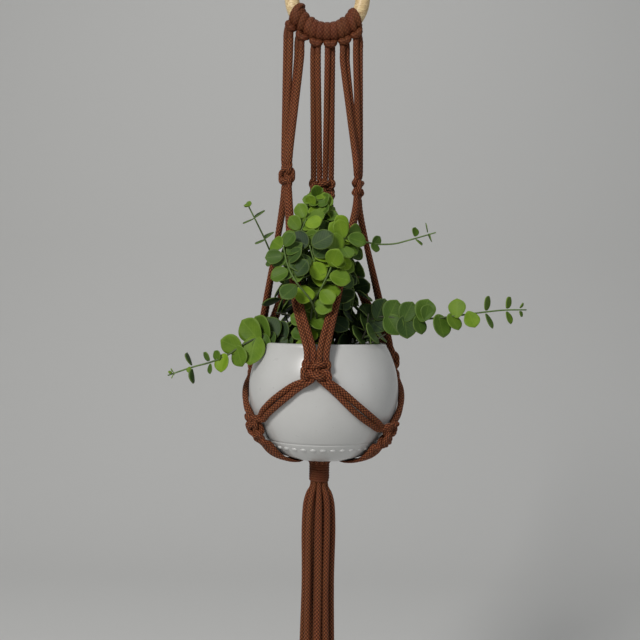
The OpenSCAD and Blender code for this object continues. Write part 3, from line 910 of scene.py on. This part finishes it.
def grooved(r, z, bead_z):
    """The outline with a shallow turned groove above the row of beads."""
    if z > POT_MID or z < POT_BASE + 0.004:
        return r
    return r - GROOVE_DEPTH * math.exp(-(((z - bead_z - GROOVE_Z) / 0.0007) ** 2))


def lathe(rows, around, centre_x):
    verts, faces = [], []
    for r, z in rows:
        if r < 1e-6:
            verts.append((centre_x, 0, z))
        else:
            verts += [(centre_x + r * math.cos(2 * math.pi * k / around),
                       r * math.sin(2 * math.pi * k / around), z) for k in range(around)]
    starts, at = [], 0
    for r, _ in rows:
        starts.append(at)
        at += 1 if r < 1e-6 else around
    for (r0, _), (r1, _), a, b in zip(rows, rows[1:], starts, starts[1:]):
        for k in range(around):
            j = (k + 1) % around
            if r0 < 1e-6:
                faces.append((a, b + j, b + k))
            elif r1 < 1e-6:
                faces.append((a + k, a + j, b))
            else:
                faces.append((a + k, a + j, b + j, b + k))
    return verts, faces


def cap_and_join(first, rings, around, faces):
    """Adds the faces over a pole at vertex first, some rings of vertices and a last pole."""
    last = first + 1 + rings * around
    for k in range(around):
        j = (k + 1) % around
        faces.append((first, first + 1 + k, first + 1 + j))
        for n in range(first + 1, last - around, around):
            faces.append((n + k, n + around + k, n + around + j, n + j))
        faces.append((last - around + k, last, last - around + j))


def bead_mesh(az, verts, faces):
    """Adds a low oval bead, half sunk in the wall."""
    rings, around = 6, 14
    r, z = arc_point(-BEAD_ANGLE, LOWER_DROP, BEAD_SUNK)
    tilt = math.radians(pot_tilt(z))
    centre = polar(r, az, z) + POT_AXIS
    out = polar(math.cos(tilt), az, -math.sin(tilt))
    round_pot = polar(1, az + 90, 0)
    a, b, c = round_pot * BEAD_SIZE[0], np.cross(out, round_pot) * BEAD_SIZE[1], out * BEAD_SIZE[2]
    first = len(verts)
    verts.append(tuple(centre + c))
    for i in range(1, rings):
        over = math.pi * i / rings
        for k in range(around):
            turn = 2 * math.pi * k / around
            flat = a * math.cos(turn) + b * math.sin(turn)
            verts.append(tuple(centre + flat * math.sin(over) + c * math.cos(over)))
    verts.append(tuple(centre - c))
    cap_and_join(first, rings - 1, around, faces)


def make_pot():
    _, z = arc_point(-BEAD_ANGLE, LOWER_DROP, 0)
    dense = []
    rows = pot_profile()
    for (r0, z0), (r1, z1) in zip(rows, rows[1:]):
        near = abs((z0 + z1) / 2 - z - GROOVE_Z) < 0.006 and r0 > POT_R * 0.6 and z0 < POT_MID
        parts = 8 if near else 1
        for i in range(parts):
            dense.append((r0 + (r1 - r0) * i / parts, z0 + (z1 - z0) * i / parts))
    dense.append(rows[-1])
    half = next(i for i, row in enumerate(dense) if row[1] >= POT_TOP - 1e-4)
    shaped = [(grooved(a, b, z) if i < half else a, b) for i, (a, b) in enumerate(dense)]
    verts, faces = lathe(shaped, 160, POT_X)
    for i in range(BEAD_COUNT):
        bead_mesh(360 * i / BEAD_COUNT, verts, faces)
    piece = mesh_object("pot_glazed", verts, faces, glaze_paint())
    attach(piece, "pot")
    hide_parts("pot")


make_pot()


# ---------------------------------------------------------------- foam plug
def foam_paint():
    """Dark, dry, crumbly florist's foam."""
    p = Paint("dark_foam", Roughness=0.95, Specular_IOR_Level=0.15)
    place = p.place()
    crumb = p.noise(place, 320.0, 5.0, 0.7)
    share = p.spread(crumb, 0.35, 0.68)
    p.wire("Base Color", p.mix(share, (0.012, 0.008, 0.005), (0.055, 0.036, 0.022)))
    p.bump(crumb, 0.9, 0.0016)
    return p.material


def make_foam():
    low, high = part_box("foam_plug")
    reach = (high.x - low.x) / 2
    steps, around = 26, 96
    crumbs = random.Random(11)
    verts, faces = [(POT_X, 0, high.z)], []
    for i in range(1, steps + 1):
        r = reach * 0.985 * i / steps
        for k in range(around):
            lift = crumbs.uniform(-0.0012, 0.0006) if i < steps else -0.001
            verts.append(tuple(polar(r, 360 * k / around, high.z + lift - 0.0004) + (POT_X, 0, 0)))
    for k in range(around):
        verts.append(tuple(polar(reach * 0.985, 360 * k / around, low.z) + (POT_X, 0, 0)))
    verts.append((POT_X, 0, low.z))
    cap_and_join(0, steps + 1, around, faces)
    piece = mesh_object("foam_plug_crumbly", verts, faces, foam_paint())
    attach(piece, "pot")
    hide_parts("foam_plug")


make_foam()


# ---------------------------------------------------------------- plant
def leaf_paint():
    """Matt moulded leaf, each with its own tone of painted light and shade, a paler vein and a lighter
    edge.
    """
    p = Paint("leaf", Roughness=0.55, Specular_IOR_Level=0.2)
    uv = p.place("UV")
    place = p.place()
    split = p.node("SeparateXYZ", {0: uv})
    x, y = split.outputs[0], split.outputs[1]
    # The tone per leaf is painted light and shade with some random difference: 0 gives the near black
    # green of painted shade deep in the bush, 1 the yellow-green of painted light.
    tone = p.tone()
    mottle = p.spread(p.noise(place, 120.0, 3.0), 0.3, 0.7)
    dark = p.mix(mottle, (0.010, 0.025, 0.010), (0.018, 0.040, 0.014))
    mid = p.mix(mottle, (0.042, 0.092, 0.008), (0.064, 0.125, 0.012))
    lit_green = p.mix(mottle, (0.120, 0.215, 0.008), (0.175, 0.280, 0.012))
    lower = p.mix(p.spread(tone, 0.0, 0.5), dark, mid)
    body = p.mix(p.spread(tone, 0.5, 1.0), lower, lit_green)
    off = p.math("ABSOLUTE", p.math("SUBTRACT", x, 0.5))
    vein = p.spread(off, 0.0, 0.035, 1.0, 0.0)
    fan = p.math("SUBTRACT", y, p.times(off, 0.9))
    ribs = p.math("SINE", p.times(fan, 44.0))
    rib = p.times(p.spread(ribs, 0.6, 1.0), 0.35)
    up = p.math("SUBTRACT", y, 0.5)
    reach = p.plus(p.times(off, off), p.times(up, up))
    rim = p.times(p.spread(reach, 0.19, 0.245), 0.6)
    pale = p.mix(0.35, body, (0.34, 0.46, 0.10))
    lines = p.math("MAXIMUM", p.times(p.math("MAXIMUM", vein, rib), 0.35), rim)
    p.wire("Base Color", p.mix(lines, body, pale))
    p.bump(mottle, 0.2, 0.0003)
    return p.material


def stem_paint():
    """Moulded stem: green at the tip, dark brown to black near the foam."""
    p = Paint("stem", Roughness=0.55, Specular_IOR_Level=0.4)
    place = p.place()
    streak = p.spread(p.noise(p.stretched(place, (300.0, 300.0, 60.0)), 1.0, 3.0), 0.3, 0.7)
    dark = p.mix(streak, (0.012, 0.010, 0.008), (0.03, 0.024, 0.014))
    green = p.mix(streak, (0.07, 0.12, 0.025), (0.13, 0.22, 0.04))
    p.wire("Base Color", p.mix(p.tone(), dark, green))
    p.bump(streak, 0.3, 0.0003)
    return p.material


LEAF = leaf_paint()
STEM = stem_paint()
LEAF_GRID = 8
LEAF_THICK = 0.0007
POINTED = 0.06  # how far the tip runs out, as a share of the leaf's length
STEM_SIDES = 8
STEM_STEP = 0.0025


def leaf_shape(size, cup, bend, taper):
    """Local points of a leaf: x across, y from the stalk to the tip, z up. Round with a narrow foot."""
    n = LEAF_GRID
    rows = []
    for i in range(n + 1):
        for k in range(n + 1):
            a, b = 2 * k / n - 1, 2 * i / n - 1
            # square to disc
            x, y = a * math.sqrt(1 - b * b / 2), b * math.sqrt(1 - a * a / 2)
            t = (y + 1) / 2
            width = 1 - taper * (1 - t) ** 2
            tip = POINTED * max(0, 1 - abs(x) * 1.4) ** 2.5 * t ** 6
            px = x * width * size / 2
            py = (t + tip) * size
            pz = cup * size * (x * x) + bend * size * (t - 0.35) ** 2 - 0.12 * size * tip
            rows.append((px, py, pz, x / 2 + 0.5, t))
    return rows


POT_TURN = 5  # degrees each way, the limits of the joint pot_turn
CLEAR_OF_ARM = 0.0032  # from the middle of a cord
NEAR_LEAF = 0.022  # cord points further than this from a leaf's middle aren't looked at
# A leaf that isn't clear moves along its normal by the first of these that clears it
LEAF_SHIFTS = (0, 0.0015, -0.0015, 0.003, -0.003, 0.0045, -0.0045)


def clear_of_arms(points):
    """Whether points of the plant stay off the arm cords at rest and at both limits of the pot."""
    arms = np.vstack(ARM_PATHS)
    for turn in (-POT_TURN, 0, POT_TURN):
        c, s = math.cos(math.radians(turn)), math.sin(math.radians(turn))
        x, y, z = (points - POT_AXIS).T
        moved = np.stack([c * x - s * y, s * x + c * y, z], 1) + POT_AXIS
        near = arms[np.linalg.norm(arms - moved.mean(0), axis=1) < NEAR_LEAF]
        gaps = np.linalg.norm(moved[:, None] - near[None], axis=2)
        if len(near) and gaps.min() < CLEAR_OF_ARM:
            return False
    return True


class Growth:
    """Leaves and stems of one sprig, gathered into one mesh with two materials."""

    def __init__(self):
        self.verts, self.faces, self.uvs, self.tones, self.slots = [], [], [], [], []

    def leaf(self, at, axis, normal, size, tone, cup, bend, taper):
        """Adds a leaf, unless it can't be kept off the arm cords."""
        axis = unit(axis)
        normal = unit(normal - axis * (normal @ axis))
        wide = np.cross(axis, normal)
        shape = leaf_shape(size, cup, bend, taper)
        middle = np.array([wide * x + axis * y + normal * z for x, y, z, _, _ in shape]) + at
        shift = next((d for d in LEAF_SHIFTS if clear_of_arms(middle + normal * d)), None)
        if shift is None:
            return
        at = at + normal * shift
        n = LEAF_GRID + 1
        base = len(self.verts)
        for sign in (0.5, -0.5):
            for x, y, z, _, _ in shape:
                self.verts.append(at + wide * x + axis * y + normal * (z + sign * LEAF_THICK))
                self.tones.append(tone)
        under = n * n
        flat = [(u, v) for _, _, _, u, v in shape]
        for i in range(n - 1):
            for k in range(n - 1):
                a, b, c, d = i * n + k, i * n + k + 1, (i + 1) * n + k + 1, (i + 1) * n + k
                for quad, start in (((a, b, c, d), base), ((d, c, b, a), base + under)):
                    self._face([start + m for m in quad], [flat[m] for m in quad], 0)
        rim = (list(range(n)) + [i * n + n - 1 for i in range(1, n)]
               + [(n - 1) * n + k for k in range(n - 2, -1, -1)] + [i * n for i in range(n - 2, 0, -1)])
        for a, b in zip(rim, rim[1:] + rim[:1]):
            self._face([base + b, base + a, base + under + a, base + under + b],
                       [flat[b], flat[a], flat[a], flat[b]], 0)

    def _face(self, corners, uv, slot):
        self.faces.append(tuple(corners))
        self.uvs += uv
        self.slots.append(slot)

    def stem(self, points, radii, tones):
        sides = STEM_SIDES
        dense = curve_through(points, 10)
        s = lengths_along(dense)
        wanted = np.linspace(0, s[-1], max(4, int(s[-1] / STEM_STEP)) + 1)
        p = at_lengths(dense, s, wanted)
        side, other = ring_frames(p)
        base = len(self.verts)
        r = np.interp(wanted / s[-1], np.linspace(0, 1, len(radii)), radii)
        t = np.interp(wanted / s[-1], np.linspace(0, 1, len(tones)), tones)
        for i in range(len(p)):
            for k in range(sides):
                a = 2 * math.pi * k / sides
                self.verts.append(p[i] + r[i] * (side[i] * math.cos(a) + other[i] * math.sin(a)))
                self.tones.append(t[i])
        for i in range(len(p) - 1):
            for k in range(sides):
                j = (k + 1) % sides
                a = base + i * sides
                self._face([a + k, a + j, a + sides + j, a + sides + k], [(0.5, 0.5)] * 4, 1)
        self._face([base + k for k in range(sides - 1, -1, -1)], [(0.5, 0.5)] * sides, 1)
        last = base + (len(p) - 1) * sides
        self._face([last + k for k in range(sides)], [(0.5, 0.5)] * sides, 1)

    def piece(self, name):
        obj = mesh_object(name, self.verts, self.faces, LEAF, self.uvs, self.tones)
        obj.data.materials.append(STEM)
        obj.data.polygons.foreach_set("material_index", self.slots)
        return obj


def stem_spot(points, at):
    i = min(int(at), len(points) - 2)
    a, b = np.array(points[i]), np.array(points[i + 1])
    return a + (b - a) * (at - i), unit(b - a)


def spray(first, last, count, sizes, tones, turn=0):
    """Leaf pairs evenly along a stem, each pair square to the last, with sizes and tones that run on."""
    rows = []
    for i in range(count):
        t = i / max(1, count - 1)
        turns = (turn + 90 * (i % 2), turn + 90 * (i % 2) + 180)
        rows.append((first + (last - first) * t, sizes[0] + (sizes[1] - sizes[0]) * t, turns,
                     tones[0] + (tones[1] - tones[0]) * t, 1.0))
    return rows


# Stems in millimetres from the foam outwards, then their leaves as (place along the stem, length,
# turns about the stem, tone from painted shade at 0 to painted light at 1, how far they open to the
# side they are seen from). Place 1.5 is halfway between points 1 and 2. A turn of 0 is upwards.
SPRIGS = {
    "sprig_upper_left": [
        (((-6, -6, -325), (-12, -14, -290), (-21, -19, -262), (-31, -21, -245), (-40, -27, -237.5),
          (-47, -32, -223.5), (-52, -35, -213.5), (-60, -39, -198)),
         [(2.2, 16, (60, 230), 0.4, 0.8), (2.7, 15, (0, 170), 0.5, 0.7), (3.9, 9, (180,), 0.35, 0.1),
          (4.87, 9.5, (0, 180), 0.3, 0), (6.25, 11, (0, 180), 0.3, 0),
          (6.85, 4.5, (0, 90, 180, 270), 0.8, 0.5)]),
    ],
    "sprig_upper_right": [
        (((6, -4, -325), (12, -8, -280), (20, -10, -240), (29, -11, -225), (44, -13, -226),
          (57, -15, -225.5), (67, -17, -223), (89, -20, -216.6)),
         [(1.6, 15, (0, 180), 0.1, 0.9), (2.3, 10, (60, 240), 0.35, 0.9), (3.75, 9, (0, 180), 0.45, 0.5),
          (6.25, 7.5, (0, 180), 0.5, 0.4), (6.72, 7, (20, 150), 0.3, 0)]),
    ],
    "sprig_lower_left": [
        (((-10, -6, -325), (-24, -12, -304), (-42, -18, -300), (-61, -20, -307), (-77, -22, -317.5),
          (-89, -22, -322.5), (-103, -22, -326.5), (-123, -18, -333.6)),
         [(1.1, 17, (60, 150), 0.08, 0.9), (1.4, 18, (170, 10), 0.1, 0.9), (1.8, 19, (10,), 0.1, 0.9),
          (1.9, 18, (160,), 0.15, 0.9), (2.1, 21, (0,), 0.5, 0.6), (2.25, 18, (185,), 0.5, 0.8),
          (2.6, 24, (185,), 0.85, 0.9), (2.5, 22, (-5,), 0.6, 0.75), (3.4, 17, (180,), 0.7, 0.85),
          (3.35, 19, (0,), 0.66, 0.85), (4.05, 15, (175,), 0.9, 0.9), (4.4, 9, (20,), 0.6, 0.6),
          (4.95, 8, (0, 180), 0.5, 0.35), (6.0, 12, (0, 180), 0.25, 0),
          (6.1, 5, (150,), 0.75, 0.9), (6.75, 3.2, (0, 90, 180, 270), 0.75, 0.3)]),
        (((-10, -4, -325), (-12, -8, -296), (-24, -12, -285), (-38, -13, -282)), []),
    ],
    "sprig_lower_right": [
        (((10, -2, -325), (22, -6, -300), (43, -11, -285), (68, -15, -286), (94, -17, -284.5),
          (121, -16, -280.5), (146, -14, -277.5), (164, -12, -277)),
         [(1.3, 17, (0, 180), 0.05, 0.9), (1.8, 17, (30, 190), 0.08, 0.9), (2.05, 18, (10,), 0.12, 0.8),
          (2.4, 20, (0, 175), 0.42, 0.75), (2.9, 19, (180, 30), 0.3, 0.9), (3.3, 14, (190,), 0.35, 0.7),
          (3.45, 20, (0,), 0.55, 0.85), (3.55, 12, (20,), 0.45, 0.7), (3.95, 18, (180,), 0.6, 0.6),
          (4.3, 15, (180,), 0.7, 0.6), (4.5, 16, (0,), 0.92, 0.95), (4.85, 14, (180,), 0.92, 0.8),
          (5.35, 12, (0, 180), 0.6, 0.35), (6.05, 10, (0, 180), 0.65, 0.4),
          (6.65, 5, (40, 220), 0.7, 0.4)]),
        (((6, -4, -325), (20, -14, -316), (38, -20, -306), (50, -22, -298)), []),
        (((14, -6, -325), (26, -18, -312), (34, -24, -296), (36, -26, -282)), []),
    ],
    "sprig_centre": [
        (((0, 0, -325), (2, -8, -290), (1, -14, -255), (-3, -15, -225),
          (-5, -15, -203), (-5, -14, -189)),
         spray(1.2, 4.95, 21, (18, 10), (0.1, 0.72))),
        (((-4, -12, -235), (-8, -16, -215), (-8, -18, -202), (-7, -18, -192)),
         spray(0.5, 2.95, 8, (13, 9), (0.4, 0.75), turn=30)),
        (((0, -12, -235), (0, -16, -218), (-1, -18, -205), (-2, -18, -194)),
         spray(0.5, 2.95, 8, (13, 9), (0.4, 0.75), turn=60)),
        (((3, 2, -325), (8, 0, -285), (10, -6, -250), (9, -14, -225), (9, -18, -209)),
         spray(1.2, 3.95, 11, (18, 13), (0.1, 0.8), turn=45)),
    ],
    "sprig_front": [
        (((-2, -8, -325), (-6, -20, -312), (-8, -34, -298), (-9, -40, -286), (-7, -45, -274),
          (-1, -51, -262), (5, -50, -249), (8, -46, -238)),
         spray(1.1, 6.9, 15, (15, 15), (0.7, 0.95), turn=90)),
        (((-4, -6, -310), (-8, -22, -280), (-12, -34, -250), (-16, -38, -233), (-18, -38, -221),
          (-14, -34, -209)),
         spray(1.9, 4.9, 9, (16, 13), (0.45, 0.85), turn=45)),
        (((-2, -8, -325), (-4, -24, -300), (-5, -44, -284), (-10, -56, -272), (-20, -58, -260),
          (-27, -53, -247), (-31, -49, -232)),
         spray(3.9, 5.9, 6, (15, 13), (0.3, 0.5), turn=20)),
        (((0, -4, -325), (-3, -20, -285), (-3, -40, -262), (-7, -50, -245), (-11, -51, -231)),
         spray(2.7, 3.9, 3, (19, 18), (0.05, 0.1), turn=90)),
        (((0, -6, -310), (4, -22, -290), (8, -28, -272), (9, -28, -256)),
         spray(1.2, 2.9, 4, (17, 16), (0.12, 0.3), turn=30)),
    ],
    "sprig_left": [
        (((-4, 2, -325), (-14, 2, -296), (-22, 1, -268), (-24, -2, -242),
          (-22, -8, -222), (-20, -12, -211)),
         spray(0.8, 4.9, 13, (18, 13), (0.1, 0.6), turn=30)),
        (((-8, 4, -325), (-22, 8, -302), (-32, 8, -282), (-34, 3, -262)),
         spray(0.8, 2.9, 7, (17, 14), (0.08, 0.3))),
        (((-6, 8, -325), (-14, 19, -298), (-16, 22, -272), (-12, 17, -246)),
         spray(0.7, 2.9, 8, (18, 14), (0.1, 0.6), turn=40)),
    ],
    "sprig_right": [
        (((4, 4, -325), (14, 7, -296), (22, 9, -270), (23, 8, -248), (20, 5, -228)),
         spray(0.8, 3.95, 11, (19, 14), (0.08, 0.45))),
        (((6, 0, -325), (16, -5, -300), (23, -8, -280), (25, -8, -262)),
         spray(0.8, 2.9, 7, (19, 16), (0.02, 0.14), turn=45)),
        (((8, 0, -325), (20, -10, -310), (32, -15, -302), (42, -17, -297)),
         spray(0.8, 2.9, 6, (20, 19), (0.03, 0.1), turn=20)),
        (((6, 8, -325), (14, 19, -298), (16, 22, -272), (10, 18, -246)),
         spray(0.7, 2.9, 8, (18, 14), (0.1, 0.6), turn=40)),
        (((2, -10, -290), (4, -24, -262), (8, -40, -240), (14, -42, -229), (18, -38, -219)),
         spray(1.9, 3.9, 7, (15, 14), (0.55, 0.8), turn=60)),
    ],
}
MM = 0.001
UNEVEN = 0.28  # how much the tone differs from leaf to leaf in the bush
CLASP = 0.16  # how far a leaf of the long sprigs reaches past its stem
STEM_R = 0.0009
STEM_SHAPE = [STEM_R * share for share in (1.3, 1, 0.85, 0.6)]  # from the foam to the tip
TWIST = 14  # a leaf turns up to this many degrees about its stem, either way
RISE = (8, 34)  # and leans towards the tip by so many
WANDER = 0.28  # how loosely it faces its side
STEM_LEAN = np.array([0.02, 0.3, 1.0])
BUSH_NODES = ("sprig_centre", "sprig_front", "sprig_left", "sprig_right")
BUSH_MIDDLE = np.array([-0.002, -0.004, 0])
TO_FRONT = unit(np.array([-0.15, -1.0, 0.35]))


def seen_from(node, spot):
    """The way a leaf's face opens: out of the bush and up, or to the front on the long sprigs."""
    if node not in BUSH_NODES:
        return TO_FRONT
    out = (spot - BUSH_MIDDLE) * (1, 1, 0)
    return unit(unit(out) + np.array([0, 0, 0.45]))


def grow_leaf(grow, node, at, along, row, turn):
    _, size, _, tone, opened = row
    side = unit(STEM_LEAN - along * (STEM_LEAN @ along))
    loose = 1 if opened > 0.2 else 0.2
    a = math.radians(turn + loose * rng.uniform(-TWIST, TWIST))
    out = side * math.cos(a) + np.cross(along, side) * math.sin(a)
    rise = math.radians(loose * rng.uniform(*RISE))
    axis = out * math.cos(rise) + along * math.sin(rise)
    face = seen_from(node, at + out * size * MM / 2)
    axis = unit(axis - face * (axis @ face) * 0.8 * opened)
    wander = np.array([rng.uniform(-1, 1) for _ in range(3)]) * WANDER * loose
    normal = along * (1 - opened) + (face + wander) * opened
    foot = 0.0015 if opened < 0.5 or node in BUSH_NODES else -CLASP * size * MM
    cup, bend, taper = rng.uniform(0.02, 0.14), rng.uniform(0.04, 0.2), rng.uniform(0.22, 0.48)
    length = size * MM * rng.uniform(0.92, 1.06)
    shade = tone + rng.uniform(-1, 1) * (UNEVEN if node in BUSH_NODES else 0.1)
    shade = min(1, max(0, shade))
    grow.leaf(at + axis * foot + face * 0.0008, axis, normal, length, shade, cup, bend, taper)


def make_sprig(node, stems):
    grow = Growth()
    for points, rows in stems:
        path = [np.array(p) * MM for p in points]
        green = 1 if rows else 0.1
        grow.stem(path, STEM_SHAPE, [0, 0.15 * green, 0.6 * green, green])
        for row in rows:
            at, along = stem_spot(path, row[0])
            for turn in row[2]:
                grow_leaf(grow, node, at, along, row, turn)
    piece = grow.piece(node + "_leaves")
    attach(piece, "pot")
    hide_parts(node)


for name, stems in SPRIGS.items():
    make_sprig(name, stems)

# ---------------------------------------------------------------- floor, light and world
FLOOR_Z = -0.78
WALL_START = 0.9  # the floor turns up into the wall here
WALL_BEND = 0.7
AIM = (0, 0, -0.3)


def make_stage():
    p = Paint("pale_floor", Roughness=0.9, Specular_IOR_Level=0.1, Base_Color=(0.62, 0.62, 0.61, 1))
    rows = [(-3.0, FLOOR_Z), (WALL_START, FLOOR_Z)]
    for i in range(1, 17):
        a = math.pi / 2 * i / 16
        rows.append((WALL_START + WALL_BEND * math.sin(a), FLOOR_Z + WALL_BEND * (1 - math.cos(a))))
    rows.append((WALL_START + WALL_BEND, 2.6))
    verts = [(x, y, z) for y, z in rows for x in (-3.5, 3.5)]
    faces = [(2 * i, 2 * i + 1, 2 * i + 3, 2 * i + 2) for i in range(len(rows) - 1)]
    mesh_object("backdrop", verts, faces, p.material)


def area_light(name, place, target, size, power, colour=(1, 1, 1)):
    lamp = bpy.data.lights.new(name, "AREA")
    lamp.size = size
    lamp.energy = power
    lamp.color = colour
    obj = bpy.data.objects.new(name, lamp)
    bpy.context.scene.collection.objects.link(obj)
    obj.location = place
    obj.rotation_mode = "QUATERNION"
    obj.rotation_quaternion = (Vector(target) - Vector(place)).to_track_quat("-Z", "Y")


make_stage()
area_light("key", (-0.9, -1.5, 0.75), AIM, 0.45, 30, (1.0, 0.985, 0.96))
area_light("fill", (1.6, -1.2, -0.2), AIM, 1.6, 5, (0.93, 0.96, 1.0))
area_light("top", (0.1, 0.3, 1.6), AIM, 1.4, 9)

world = bpy.data.worlds.new("soft_grey")
world.use_nodes = True
world.node_tree.nodes["Background"].inputs[0].default_value = (0.62, 0.63, 0.64, 1)
world.node_tree.nodes["Background"].inputs[1].default_value = 0.36
bpy.context.scene.world = world
